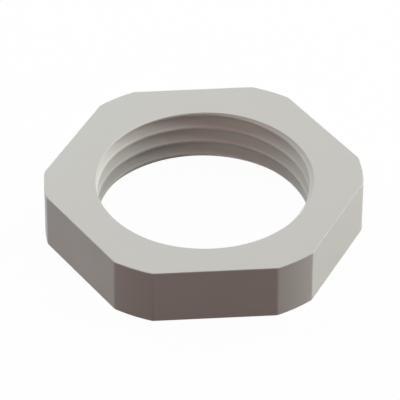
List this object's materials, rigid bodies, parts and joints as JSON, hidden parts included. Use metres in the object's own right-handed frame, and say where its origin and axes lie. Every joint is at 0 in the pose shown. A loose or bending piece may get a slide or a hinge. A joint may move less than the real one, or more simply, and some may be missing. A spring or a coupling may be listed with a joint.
{
  "type": "cable gland locknut",
  "caption": "Thin hexagonal plastic locknut with turned corners and an internal thread, for clamping a cable gland in a wall or panel.",
  "frame": {"origin": "centre of the underside, on the thread's axis", "axes": "+Z along the thread's axis, away from the underside; +X through one corner of the hexagon; +Y square to one of its flats"},
  "size_m": [0.0282, 0.026, 0.0053],
  "materials": {
    "grey_polyamide": "moulded, light grey, faint satin"
  },
  "bodies": {
    "root": {"locknut": "grey_polyamide"}
  },
  "joints": []
}
